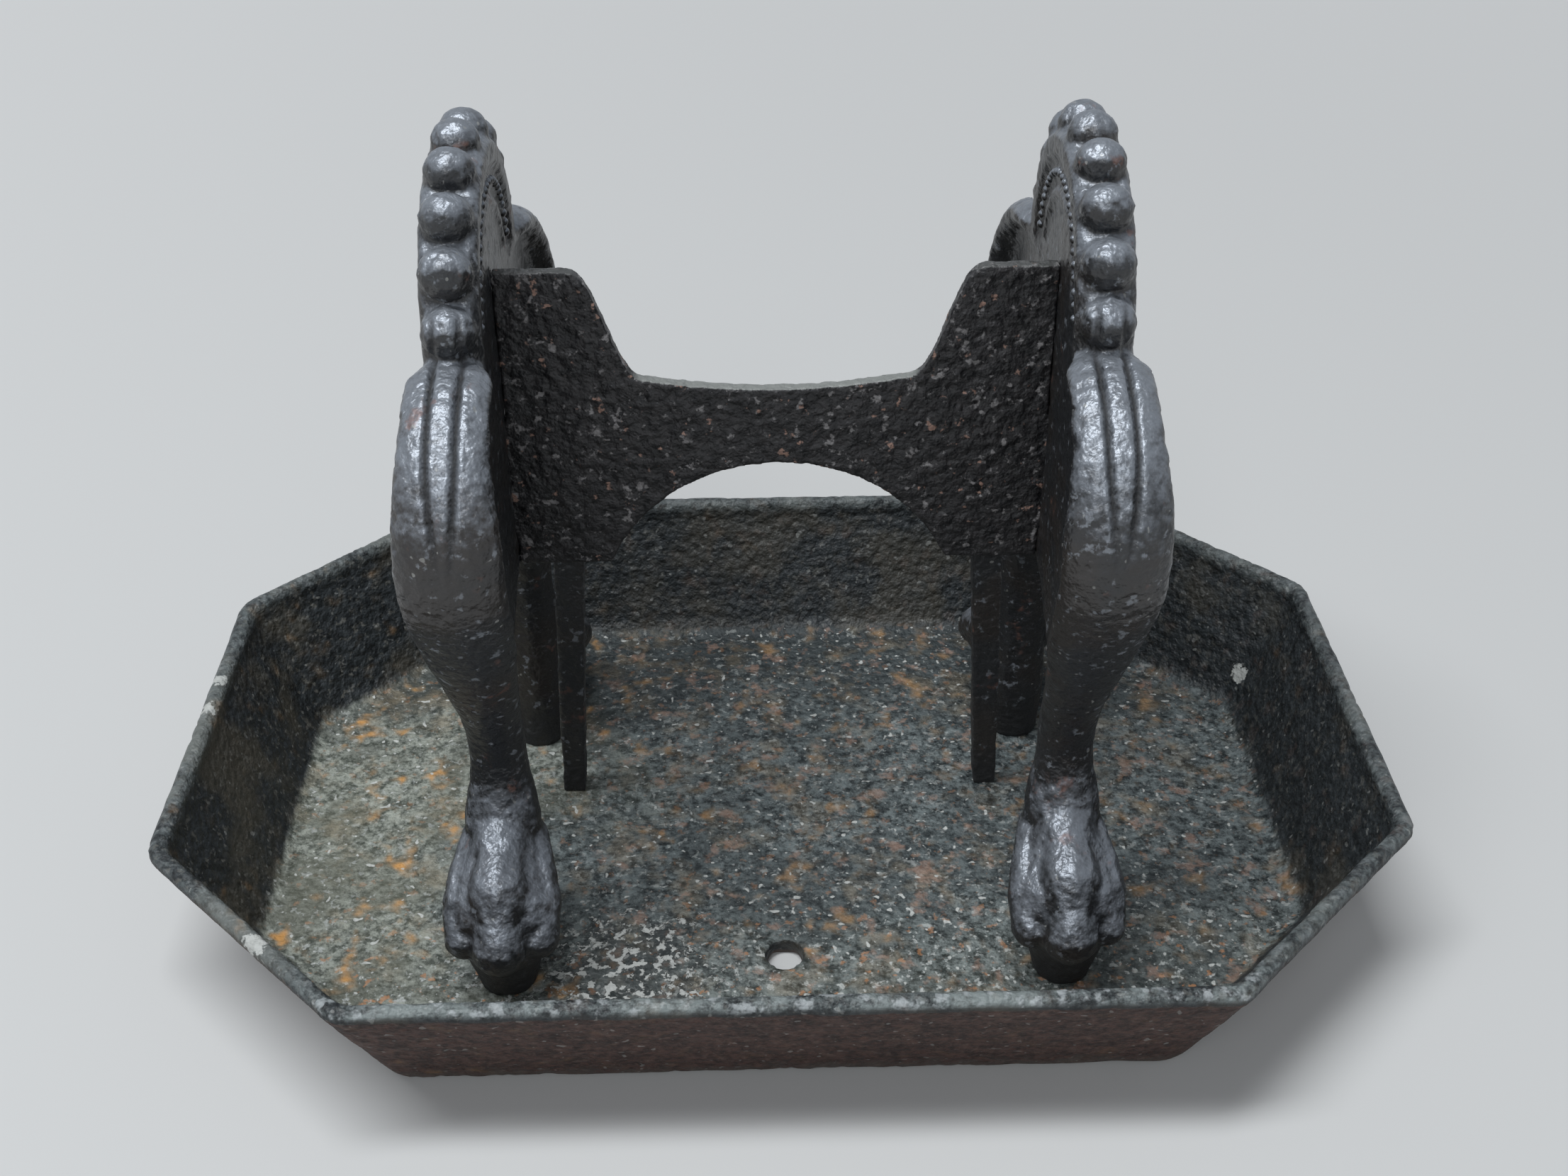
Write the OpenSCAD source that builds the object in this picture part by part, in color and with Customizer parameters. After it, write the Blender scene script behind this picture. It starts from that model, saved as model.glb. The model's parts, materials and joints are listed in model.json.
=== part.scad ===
// Cast iron boot scraper: a blade between two paw-footed end frames.
// It stands loose in an eight-sided tray.
// Two bars are riveted to the back of the blade and prop it up from the tray's floor.
// X runs along the blade, -Y faces the person using it, Z is up and the ground is at Z = 0.
// Heights on the scraper are measured from its soles, which stand on the tray's floor.

/* [Tray] */
// Length of the tray over its rim
tray_l = 400; // [350:1:460]
// Width of the tray over its rim
tray_w = 276; // [262:1:330]
// Height of the rim above the ground
tray_h = 56; // [42:1:75]
// Length that each cut-off corner takes from the sides of the rim
corner_cut = 70; // [55:1:85]
// Radius of the eight upright corners
corner_r = 10; // [6:0.5:14]
// How far the walls lean outwards on their way up
wall_lean = 25; // [12:1:28]
// Thickness of the walls, measured level
wall_t = 5; // [4:0.5:7]
// Thickness of the floor
floor_t = 6; // [4:0.5:9]
// Thickness of the rounded lip along the rim
lip_d = 6.5; // [6:0.5:11]
// Radius of the hollow between the floor and the walls
hollow_r = 7; // [4:0.5:9]
// Diameter of the drain hole
drain_d = 12; // [8:0.5:18]
// Distance of the drain hole from the middle of the tray
drain_y = 69; // [58:1:80]

/* [Blade] */
// Thickness of the blade
blade_t = 4.5; // [3.5:0.5:8]
// Height of the blade's bottom edge
blade_z = 111; // [104:0.5:118]
// Height of the horns at the two ends of the blade
horn_z = 212.5; // [206:0.5:220]
// Lowest height of the scraping edge
edge_z = 173; // [166:0.5:180]
// Length of the scraping edge between the feet of the horns
edge_l = 79; // [64:1:90]
// How much higher the scraping edge is at its ends
edge_sag = 3.5; // [2:0.5:6]
// Length over which a horn rises from the scraping edge
horn_rise_l = 23; // [18:1:28]
// Radius of the arch under the blade
arch_r = 58; // [52:1:62]
// Height of the top of that arch
arch_z = 147; // [140:0.5:154]
// Height of the tenon at each end of the blade
tenon_h = 40; // [28:1:46]
// How far the hammered tenon head overlaps the frame around its mortise
head_lap = 3; // [2:0.5:5]
// Thickness of the hammered tenon head
head_t = 3; // [2:0.5:5]
// Clearance of the tenon in its mortise
tenon_play = 0.25; // [0.1:0.05:0.4]

/* [Stays] */
// Distance between the two stays where they are riveted to the blade
stay_gap = 137; // [130:1:144]
// Distance between the feet of the stays
foot_gap = 150; // [140:1:152]
// How far those feet stand behind the blade
foot_back = 12; // [4:0.5:14]
// Width of a stay behind the blade
stay_w = 10; // [9:0.5:13]
// Width of a stay at its foot
stay_foot_w = 8; // [5:0.5:9]
// Thickness of a stay from front to back
stay_t = 8; // [6:0.5:10]
// Length of the stay that lies against the blade
stay_lap = 56; // [40:1:60]
// Diameter of the rivet through blade and stay
rivet_d = 6; // [4.5:0.5:7]
// Diameter of the rivet's head at the back
rivet_head_d = 11; // [9:0.5:14]
// Height of that head
rivet_head_t = 3; // [2:0.5:5]
// Clearance of the rivet in its hole
rivet_play = 0.3; // [0.2:0.05:0.4]

/* [End frames] */
// Distance between the middles of the two end frames
frame_gap = 179; // [174:1:190]
// Thickness of the web of a frame
web_t = 12; // [9:0.5:14]
// Height of the middle of the round crest
crest_z = 204; // [202:0.5:208]
// Radius of the crest up to the middles of its beads
crest_r = 47.5; // [45:0.5:49]
// Width of the rim that carries the beads
rim_w = 16.5; // [14:0.5:19]
// Depth of that rim
rim_t = 9; // [6:0.5:12]
// Beads on the crest, one of them on top
bead_n = 9; // [7:2:11]
// Angle between neighbouring beads, seen from the middle of the crest
bead_step = 19; // [15:0.5:19]
// Diameter of the lowest beads
bead_d = 15.4; // [12:0.2:15.6]
// Diameter of the bead on top
top_bead_d = 14.2; // [10:0.2:14.6]
// Width of a bead across the crest, as a share of its diameter
bead_wide = 1.06; // [1:0.01:1.1]
// Height of the two mouldings that follow the crest on its flat sides
moulding_d = 1.3; // [0.6:0.1:2]
// Width of each moulding
moulding_w = 4; // [3:0.2:5]

/* [Legs] */
// Radius of the bend at the knee
knee_r = 38; // [35:0.5:39]
// Distance of that bend's centre from the middle of the frame
knee_y = 49.5; // [47:0.5:53]
// Height of that bend's centre
knee_z = 165; // [163:0.5:166]
// Radius of the bend at the ankle
ankle_r = 50; // [46:0.5:53]
// Distance of that bend's centre from the middle of the frame
ankle_y = 98; // [96:0.5:101]
// Height of that bend's centre
ankle_z = 70; // [67:0.5:72]
// Width of the leg at the shoulder
shoulder_w = 26; // [22:0.5:29]
// Width of the leg at the knee
knee_w = 31.5; // [27:0.5:34]
// Width of the leg at the ankle
ankle_w = 18.6; // [16:0.2:22]
// Width of the leg where it enters the paw
instep_w = 25; // [22:0.5:28]
// Height of the rounded outer face of the leg at the knee
knee_crown = 8; // [6:0.5:10]
// Half the thickness of the ankle from front to back
ankle_half = 8.5; // [7:0.5:10]
// Depth of the two grooves that part the reeds
reed_d = 1.8; // [0.8:0.1:2.4]

/* [Paws] */
// Width over the outer toes
paw_w = 38; // [32:0.5:40]
// Reach of the middle toe from the middle of the frame
paw_reach = 95; // [92:0.5:98]
// Radius of the middle toe's knuckles
toe_r = 9.5; // [8:0.25:10]
// Radius of the outer toes' knuckles
side_toe_r = 6.5; // [5.5:0.25:7]
// Width of the narrow sole under the paw
sole_w = 18; // [15:0.5:22]
// Height of the sole
sole_h = 17; // [12:0.5:20]
// Distance of the back of the sole from the middle of the frame
heel_y = 40; // [37:0.5:44]

/* [Hidden] */
iron = [0.16, 0.165, 0.17];
worn_iron = [0.26, 0.275, 0.27];
bead_fn = 12;
ball_fn = 12;
// An overlap that lets a cut break cleanly through
past = 1;

// Eased step from 0 to 1, flat at both ends
function smooth(t) = let (u = min(max(t, 0), 1)) u * u * u * (u * (6 * u - 15) + 10);
// Value at s on a smooth run through keys, a list of [s, value] with rising s
function eased(keys, s, i = 0) =
    let (p = keys[i], q = keys[i + 1])
        i >= len(keys) - 2 || s <= q[0]
            ? p[1] + (q[1] - p[1]) * smooth((s - p[0]) / (q[0] - p[0]))
            : eased(keys, s, i + 1);
// Closed skin over rings of equally many points, with flat ends
module skin(rings) {
    n = len(rings[0]);
    last = len(rings) - 1;
    points = [for (ring = rings) each ring];
    sides = [
        for (i = [0 : last - 1])
            for (j = [0 : n - 1])
                each [
                    [i * n + j, i * n + (j + 1) % n, (i + 1) * n + j],
                    [i * n + (j + 1) % n, (i + 1) * n + (j + 1) % n, (i + 1) * n + j]
                ]
    ];
    first_end = [for (j = [n - 1 : -1 : 0]) j];
    last_end = [for (j = [0 : n - 1]) last * n + j];
    polyhedron(points, concat([first_end], sides, [last_end]));
}

// Tray: rings of an octagon with rounded corners, carried along the section of the wall

corner_steps = 4;
half_l = tray_l / 2;
half_w = tray_w / 2;
// Distance of side i of the rim from the middle, counted anticlockwise from +X
function side_reach(i) =
    i % 2 == 1 ? (half_l + half_w - corner_cut) / sqrt(2)
    : i % 4 == 0 ? half_l
    : half_w;
// Corner between sides i and i + 1, moved in from the rim by inset
function rim_corner(i, inset) =
    let (p = 45 * i, q = p + 45, h = side_reach(i) - inset, k = side_reach(i + 1) - inset)
        [h * sin(q) - k * sin(p), k * cos(p) - h * cos(q)] / sin(45);
function octagon(inset, z) = [
    for (i = [0 : 7])
        for (s = [0 : corner_steps])
            let (c = rim_corner(i, inset + corner_r), a = 45 * (i + s / corner_steps))
                [c.x + corner_r * cos(a), c.y + corner_r * sin(a), z]
];
lip_r = lip_d / 2;
lean_angle = atan2(wall_lean, tray_h);
foot_r = 2;
// The wall's section as [inset, height], from the underside round the lip to the floor
lip_z = tray_h - lip_r;
function lip_point(a) = [lip_r - lip_r * cos(a), lip_z + lip_r * sin(a)];
function wall_inset(z) = wall_lean * (1 - z / lip_z);
hollow_z = floor_t + hollow_r;
hollow_inset = wall_inset(hollow_z) + wall_t + hollow_r * cos(lean_angle);
wall_section = concat(
    [[wall_inset(0) + foot_r, 0], [wall_inset(foot_r), foot_r]],
    [for (a = [0 : 30 : 180]) lip_point(a)],
    [[wall_inset(lip_z - lip_r) + wall_t, lip_z - lip_r]],
    [for (a = [0 : 22.5 : 90 - lean_angle])
        let (t = a + lean_angle) [hollow_inset - hollow_r * cos(t), hollow_z - hollow_r * sin(t)]],
    [[hollow_inset, floor_t]]
);
module tray() {
    color(worn_iron)
        difference() {
            skin([for (p = wall_section) octagon(p[0], p[1])]);
            translate([0, -drain_y, -past])
                cylinder(d = drain_d, h = floor_t + 2 * past, $fn = 48);
        }
}

// Blade: a plate with two horns, an arch below and a tenon at each end

blade_half = (frame_gap - web_t) / 2;
tenon_z = (blade_z + edge_z) / 2;
function top_edge(x) =
    let (u = abs(x) / (edge_l / 2))
        edge_z + edge_sag * min(u, 1) * min(u, 1)
            + (horn_z - edge_z - edge_sag) * smooth((abs(x) - edge_l / 2) / horn_rise_l);
arch_foot = acos((blade_z - (arch_z - arch_r)) / arch_r);
top_steps = 32;
arch_steps = 16;
function arch_point(a) = [arch_r * sin(a), arch_z - arch_r + arch_r * cos(a)];
blade_outline = concat(
    [[-blade_half, blade_z], [-blade_half, horn_z]],
    [for (i = [-top_steps : top_steps])
        let (x = i / top_steps * (edge_l / 2 + horn_rise_l)) [x, top_edge(x)]],
    [[blade_half, horn_z], [blade_half, blade_z]],
    [for (i = [-arch_steps : arch_steps]) arch_point(-arch_foot * i / arch_steps)]
);
// Draws a flat outline of X and Z as a plate, from y_front to y_back
module plate(y_front, y_back) {
    translate([0, y_back, 0])
        rotate([90, 0, 0])
            linear_extrude(y_back - y_front)
                children();
}
module tenon() {
    translate([-past, -blade_t / 2, tenon_z - tenon_h / 2])
        cube([web_t + head_t + past, blade_t, tenon_h]);
    translate([web_t, -blade_t / 2 - head_lap, tenon_z - tenon_h / 2 - head_lap])
        cube([head_t, blade_t + 2 * head_lap, tenon_h + 2 * head_lap]);
}
module blade() {
    color(iron)
        translate([0, 0, floor_t])
            difference() {
                union() {
                    plate(-blade_t / 2, blade_t / 2)
                        polygon(blade_outline);
                    for (turn = [0, 180])
                        rotate([0, 0, turn])
                            translate([blade_half, 0, 0])
                                tenon();
                }
                for (s = [-1, 1])
                    translate([s * stay_gap / 2, 0, rivet_z])
                        rivet_hole();
            }
}

// Stay: a flat bar, upright behind the blade, then spreading outwards and backwards to its foot

blade_back = blade_t / 2;
stay_back = blade_back + stay_t;
stay_top = blade_z + stay_lap;
rivet_z = blade_z + stay_lap * 0.55;
// Level slice through a stay with its front face at y
function stay_slice(x, y, z, w, t) = [
    [x - w / 2, y, z], [x - w / 2, y + t, z], [x + w / 2, y + t, z], [x + w / 2, y, z]
];
module rivet_hole() {
    translate([0, stay_back + past, 0])
        rotate([90, 0, 0])
            cylinder(d = rivet_d + 2 * rivet_play, h = blade_t + stay_t + 2 * past, $fn = 32);
}
module stay() {
    color(worn_iron)
        translate([0, 0, floor_t])
            difference() {
                skin([
                    stay_slice(foot_gap / 2, blade_back + foot_back, 0, stay_foot_w, stay_t),
                    stay_slice(stay_gap / 2, blade_back, blade_z, stay_w, stay_t),
                    stay_slice(stay_gap / 2, blade_back, stay_top - stay_t / 2, stay_w, stay_t),
                    stay_slice(stay_gap / 2, blade_back, stay_top, stay_w, stay_t / 2)
                ]);
                translate([stay_gap / 2, 0, rivet_z])
                    rivet_hole();
            }
}
module stay_left() {
    mirror([1, 0, 0])
        stay();
}
module stay_right() {
    stay();
}
// Rivet: hammered flush with the front of the blade, with a low head behind the stay
module rivet() {
    color(worn_iron)
        translate([stay_gap / 2, 0, floor_t + rivet_z])
            rotate([-90, 0, 0]) {
                translate([0, 0, -blade_back])
                    cylinder(d = rivet_d, h = blade_t + stay_t + past, $fn = 32);
                translate([0, 0, stay_back])
                    cylinder(d1 = rivet_head_d, d2 = rivet_d, h = rivet_head_t, $fn = 32);
            }
}
module stay_rivet_left() {
    mirror([1, 0, 0])
        rivet();
}
module stay_rivet_right() {
    rivet();
}

// Leg: its middle line is the knee's arc, a straight run and the ankle's arc, all tangent

start_angle = -24;
end_angle = -30;
bend_gap = norm([ankle_y - knee_y, knee_z - ankle_z]);
ankle_start = atan2(knee_z - ankle_z, ankle_y - knee_y) - acos((knee_r + ankle_r) / bend_gap);
knee_end = 90 + ankle_start;
knee_len = knee_r * (knee_end - start_angle) * PI / 180;
shin_len = sqrt(bend_gap ^ 2 - (knee_r + ankle_r) ^ 2);
leg_len = knee_len + shin_len + ankle_r * (ankle_start - end_angle) * PI / 180;
// Station at length s along the leg: [distance outwards, height, angle of the outer face from straight up]
function knee_station(a) = [knee_y + knee_r * sin(a), knee_z + knee_r * cos(a), a];
function ankle_station(b) = [ankle_y - ankle_r * cos(b), ankle_z + ankle_r * sin(b), 90 + b];
function shin_station(t) = knee_station(knee_end) * (1 - t) + ankle_station(ankle_start) * t;
function leg_station(s) =
    s < knee_len ? knee_station(start_angle + s / knee_r * 180 / PI)
    : s < knee_len + shin_len ? shin_station((s - knee_len) / shin_len)
    : ankle_station(ankle_start - (s - knee_len - shin_len) / ankle_r * 180 / PI);
function knee_s(angle) = knee_r * (angle - start_angle) * PI / 180;
shoulder_s = knee_s(14);
bulge_s = knee_s(96);
reed_start_s = knee_s(-2);
reed_taper_s = knee_s(48);
reed_end_s = knee_s(84);
ankle_s = knee_len + shin_len + ankle_r * ankle_start * PI / 180;
// Width, height of the outer face, depth of the inner face and depth of the grooves along the leg
width_keys = [
    [0, web_t], [shoulder_s, shoulder_w], [bulge_s, knee_w], [ankle_s, ankle_w], [leg_len, instep_w]
];
instep_half = ankle_half + 2;
crown_keys = [
    [0, 3], [shoulder_s, knee_crown - 1], [bulge_s, knee_crown],
    [ankle_s, ankle_half], [leg_len, instep_half]
];
back_keys = [[0, 3], [bulge_s, 4], [ankle_s, ankle_half], [leg_len, instep_half]];
groove_keys = [
    [0, 0], [reed_start_s, 0], [shoulder_s, reed_d], [reed_taper_s, reed_d], [reed_end_s, 0], [leg_len, 0]
];
// Places across the leg, as shares of its half width; the grooves close in on the tip of the middle reed
groove_u_keys = [[0, 0.27], [reed_taper_s, 0.27], [reed_end_s, 0.15], [leg_len, 0.15]];
groove_half_u = 0.09;
function outer_u(g) = [
    -1, -0.9, -0.64, -g - groove_half_u, -g, -g + groove_half_u, 0,
    g - groove_half_u, g, g + groove_half_u, 0.64, 0.9, 1
];
back_u = [0.9, 0.5, 0, -0.5, -0.9];
function leg_ring(s) =
    let (
        p = leg_station(s),
        w = eased(width_keys, s) / 2,
        crown = eased(crown_keys, s),
        back = eased(back_keys, s),
        groove = eased(groove_keys, s),
        g = eased(groove_u_keys, s),
        section = concat(
            [for (u = outer_u(g)) [u * w, crown * sqrt(1 - u * u) - (abs(u) == g ? groove : 0)]],
            [for (u = back_u) [u * w, -back * sqrt(1 - u * u)]]
        )
    )
        [for (q = section) [q[0], -p[0] - q[1] * sin(p[2]), p[1] + q[1] * cos(p[2])]];
// Rings lie closer together round the two bends than on the straight run
knee_rings = 14;
shin_rings = 3;
ankle_rings = 8;
leg_stops = concat(
    [for (i = [0 : knee_rings - 1]) knee_len * i / knee_rings],
    [for (i = [0 : shin_rings - 1]) knee_len + shin_len * i / shin_rings],
    [for (i = [0 : ankle_rings]) leg_len - (leg_len - knee_len - shin_len) * (1 - i / ankle_rings)]
);
module leg() {
    skin([for (s = leg_stops) leg_ring(s)]);
}

// Paw: knuckled toes over a narrow sole, the middle toe the largest

module ball(k) {
    translate([k[0], -k[1], k[2]])
        sphere(k[3], $fn = ball_fn);
}
// Chain of knuckles, each [across, outwards, height, radius]
module toe(knuckles) {
    for (i = [1 : len(knuckles) - 1])
        hull() {
            ball(knuckles[i - 1]);
            ball(knuckles[i]);
        }
}
instep = leg_station(leg_len);
toe_tip_y = paw_reach - toe_r;
toe_tip_z = sole_h + toe_r - 4;
knuckle_y = (instep[0] + 2 * toe_tip_y) / 3;
knuckle_z = sole_h + 2 * toe_r + 1;
arch_y = (instep[0] + knuckle_y) / 2;
arch_up = (instep[1] + knuckle_z) / 2;
side_x = paw_w / 2 - side_toe_r;
body_r = paw_w / 2 - 7;
sole_heel_y = heel_y + sole_w / 2;
// One round end of the sole, which widens upwards by flare
module sole_end(y, flare) {
    translate([0, -y, 0])
        cylinder(d1 = sole_w, d2 = sole_w + flare, h = sole_h + 3, $fn = 20);
}
module paw() {
    toe([
        [0, instep[0] - 2, instep[1] + 1, toe_r + 1.5],
        [0, instep[0] + 6, instep[1] - 2, toe_r + 1],
        [0, arch_y + 2, arch_up + 0.5, toe_r - 1.2],
        [0, knuckle_y, knuckle_z - 0.5, toe_r + 0.8],
        [0, (toe_tip_y + knuckle_y) / 2 + 0.5, (toe_tip_z + knuckle_z) / 2 + 0.5, toe_r - 1.3],
        [0, toe_tip_y, toe_tip_z, toe_r]
    ]);
    for (s = [-1, 1])
        toe([
            [s * side_x * 0.65, instep[0] - 1, instep[1] - 4, side_toe_r - 0.5],
            [s * side_x * 0.9, arch_y + 1, arch_up - 6, side_toe_r - 0.3],
            [s * side_x, knuckle_y - 2, knuckle_z - 7, side_toe_r],
            [s * (side_x - 0.5), toe_tip_y - 4, toe_tip_z - 0.5, side_toe_r - 0.2]
        ]);
    hull() {
        ball([0, instep[0], instep[1] - 3, instep_w / 2 - 1]);
        for (s = [-1, 1])
            ball([s * side_x * 0.45, knuckle_y - 1, sole_h + body_r - 2, body_r]);
    }
    hull() {
        sole_end(sole_heel_y, 3);
        sole_end(toe_tip_y - sole_w / 2, 10);
    }
    hull() {
        sole_end(sole_heel_y, 3);
        ball([0, ankle_y - ankle_r + 0.5, ankle_z - 10, ankle_half]);
        ball([0, knuckle_y - 6, sole_h + 5, ankle_half + 0.5]);
    }
}

// End frame: web, beaded crest, and two legs with their paws

web_steps = 24;
web_side = [for (i = [0 : web_steps]) let (p = leg_station(ankle_s * i / web_steps)) [p[0], p[1]]];
under_arch_r = ankle_y - ankle_r - ankle_half + 1;
module web_outline() {
    difference() {
        union() {
            translate([0, crest_z])
                circle(crest_r - rim_t / 2, $fn = 48);
            polygon(concat(web_side, [for (i = [web_steps : -1 : 0]) [-web_side[i].x, web_side[i].y]]));
        }
        translate([0, ankle_z])
            circle(under_arch_r, $fn = 48);
    }
}
// Turns a profile of [radius, across] about the middle of the crest, from one end of the crest to the other
module crest_sweep(reach) {
    translate([0, 0, crest_z])
        rotate([0, 90, 0])
            rotate([0, 0, 180 - reach])
                rotate_extrude(angle = 2 * reach, $fn = 48)
                    children();
}
// The ends of the rim sink into the shoulders of the legs
rim_sink = 4;
rim_reach = 90 + asin((crest_z - knee_z - knee_r + rim_sink) / crest_r);
module crest_rim() {
    bevel = 2;
    out = crest_r - 1;
    crest_sweep(rim_reach)
        polygon([
            [out - rim_t, -rim_w / 2 + bevel], [out - rim_t + bevel, -rim_w / 2], [out - bevel, -rim_w / 2],
            [out, -rim_w / 2 + bevel], [out, rim_w / 2 - bevel],
            [out - bevel, rim_w / 2], [out - rim_t + bevel, rim_w / 2], [out - rim_t, rim_w / 2 - bevel]
        ]);
}
// The mouldings stop short of the ends of the rim
moulding_stop = 16;
module mouldings() {
    for (s = [-1, 1])
        for (r = [crest_r - rim_t - 4.5, crest_r - rim_t - 10.5])
            crest_sweep(rim_reach - moulding_stop)
                translate([r, s * web_t / 2])
                    polygon([
                        [-moulding_w / 2, -s], [-moulding_w / 4, s * moulding_d],
                        [moulding_w / 4, s * moulding_d], [moulding_w / 2, -s]
                    ]);
}
bead_side = (bead_n - 1) / 2;
module beads() {
    for (i = [-bead_side : bead_side])
        translate([0, 0, crest_z])
            rotate([i * bead_step, 0, 0])
                translate([0, 0, crest_r])
                    scale([bead_wide, 1, 1])
                        sphere(d = top_bead_d + (bead_d - top_bead_d) * abs(i) / bead_side, $fn = bead_fn);
}
module end_frame() {
    color(iron)
        difference() {
            union() {
                rotate([90, 0, 90])
                    linear_extrude(web_t, center = true)
                        web_outline();
                mouldings();
                crest_rim();
                beads();
                for (turn = [0, 180])
                    rotate([0, 0, turn]) {
                        leg();
                        paw();
                    }
            }
            translate([-web_t, -blade_t / 2 - tenon_play, tenon_z - tenon_h / 2 - tenon_play])
                cube([2 * web_t, blade_t + 2 * tenon_play, tenon_h + 2 * tenon_play]);
            translate([-frame_gap / 2, -frame_gap / 2, -frame_gap])
                cube(frame_gap);
        }
}
module end_frame_left() {
    translate([-frame_gap / 2, 0, floor_t])
        end_frame();
}
module end_frame_right() {
    translate([frame_gap / 2, 0, floor_t])
        end_frame();
}

tray();
end_frame_left();
end_frame_right();
blade();
stay_left();
stay_right();
stay_rivet_left();
stay_rivet_right();
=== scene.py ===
# %% [markdown]
# # A cast iron boot scraper in its drip tray
#
# The scraper is a plate with two horns, held between two ornamental end frames, and it stands loose in an
# eight-sided tray. Everything is old cast iron under worn black paint. The packed model gives every size and
# place, so this script only dresses it: it rounds the edges as a sand mould does, roughens the skin, adds the
# small pearls on the crests, and paints, wears and rusts the iron.

# %% Load the packed model
import json
import math

import bmesh
import bpy
from mathutils import Matrix, Vector

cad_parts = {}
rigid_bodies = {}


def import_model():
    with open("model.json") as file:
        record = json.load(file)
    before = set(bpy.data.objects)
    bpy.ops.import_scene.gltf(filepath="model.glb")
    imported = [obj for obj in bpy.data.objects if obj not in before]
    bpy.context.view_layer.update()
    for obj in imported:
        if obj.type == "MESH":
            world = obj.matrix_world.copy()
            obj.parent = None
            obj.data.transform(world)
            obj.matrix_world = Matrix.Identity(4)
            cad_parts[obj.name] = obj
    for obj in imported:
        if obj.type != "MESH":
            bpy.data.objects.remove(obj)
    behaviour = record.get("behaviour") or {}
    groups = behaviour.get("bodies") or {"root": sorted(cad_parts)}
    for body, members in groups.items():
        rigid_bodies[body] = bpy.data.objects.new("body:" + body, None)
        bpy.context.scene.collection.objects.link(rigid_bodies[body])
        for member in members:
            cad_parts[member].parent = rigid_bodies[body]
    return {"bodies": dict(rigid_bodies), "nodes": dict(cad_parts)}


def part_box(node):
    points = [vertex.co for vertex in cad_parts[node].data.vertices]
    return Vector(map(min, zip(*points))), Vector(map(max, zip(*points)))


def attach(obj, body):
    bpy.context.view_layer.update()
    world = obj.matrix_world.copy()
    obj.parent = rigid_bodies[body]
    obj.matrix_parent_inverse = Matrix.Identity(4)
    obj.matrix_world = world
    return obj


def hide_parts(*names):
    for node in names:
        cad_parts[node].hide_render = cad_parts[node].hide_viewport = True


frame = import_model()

kept = set(frame["nodes"].values()) | set(frame["bodies"].values())
for extra in [o for o in bpy.context.scene.objects if o not in kept]:
    bpy.data.objects.remove(extra)
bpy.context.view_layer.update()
MM = 0.001

# %% [markdown]
# ## A small language for node trees
#
# Materials and Geometry Nodes are both graphs of nodes. They could be wired up link by link, but that is hard to
# read. It is easier when a socket behaves like a number, so that `1 - mask` adds a Math node. One class wraps a
# socket, and it has the reflected forms of the operators too, for a plain number on the left.

# %% Wire: a socket to calculate with
class Wire:
    """An output socket that can be added, subtracted and multiplied like a number."""

    def __init__(self, graph, socket):
        self.graph = graph
        self.socket = socket

    def math(self, operation, first, second):
        return self.graph.add("ShaderNodeMath", {"operation": operation}, {0: first, 1: second})

    def __add__(self, other):
        return self.math("ADD", self, other)

    def __radd__(self, other):
        return self.math("ADD", other, self)

    def __sub__(self, other):
        return self.math("SUBTRACT", self, other)

    def __rsub__(self, other):
        return self.math("SUBTRACT", other, self)

    def __mul__(self, other):
        return self.math("MULTIPLY", self, other)

    def __rmul__(self, other):
        return self.math("MULTIPLY", other, self)

    def __abs__(self):
        return self.math("ABSOLUTE", self, 0)


print("a wire calculates with + - * and abs")

# %% [markdown]
# A second class wraps a tree. Every node comes from its single method `add`, which sets the node's own settings
# first and then its sockets, because some settings change which sockets a node has. The other methods are short
# names for the nodes that old iron needs most: a noise, one axis of a vector, a soft step and a mix of colours.

# %% Graph: a node tree
class Graph:
    """A node tree with one method that adds any node."""

    def __init__(self, tree):
        self.tree = tree

    def add(self, kind, settings=None, sockets=None, out=0):
        node = self.tree.nodes.new(kind)
        for key, value in (settings or {}).items():
            setattr(node, key, value)
        for key, value in (sockets or {}).items():
            self.feed(node.inputs[key], value)
        return Wire(self, node.outputs[out])

    def feed(self, socket, value):
        if isinstance(value, Wire):
            self.tree.links.new(value.socket, socket)
        else:
            socket.default_value = value

    def noise(self, place, size, detail=4.0, roughness=0.5, distortion=0.0):
        """Cloudy noise from 0 to 1 whose lumps are about size metres across."""
        return self.add("ShaderNodeTexNoise", {"noise_dimensions": "3D"}, {
            "Vector": place, "Scale": 1 / size, "Detail": detail, "Roughness": roughness, "Distortion": distortion})

    def part(self, vector, axis):
        """One of the three numbers of a vector."""
        return self.add("ShaderNodeSeparateXYZ", None, {0: vector}, out=axis)

    def step(self, value, low, high):
        """A soft step: 0 below low, 1 above high."""
        return self.add("ShaderNodeMapRange", {"interpolation_type": "SMOOTHSTEP"}, {
            "Value": value, "From Min": low, "From Max": high})

    def blend(self, share, first, second):
        """A colour between two colours."""
        return self.add("ShaderNodeMix", {"data_type": "RGBA"}, {0: share, 6: first, 7: second}, out=2)

    def coats(self, colour, *coats):
        """A colour with thin coats over it; each coat is the share that it covers, and its own colour."""
        for share, coat in coats:
            colour = self.blend(share, colour, coat)
        return colour


print("a graph has", [name for name in vars(Graph) if not name.startswith("_")])

# %% [markdown]
# ## Geometry Nodes trees from Python
#
# Three trees follow: the casting's skin, the reeded legs and the pearls. They all begin with named inputs and end in
# Realize Instances and Set Material, because an export drops what is still an instance. Two of them push points
# along their normals. So those three steps are written once.

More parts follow.
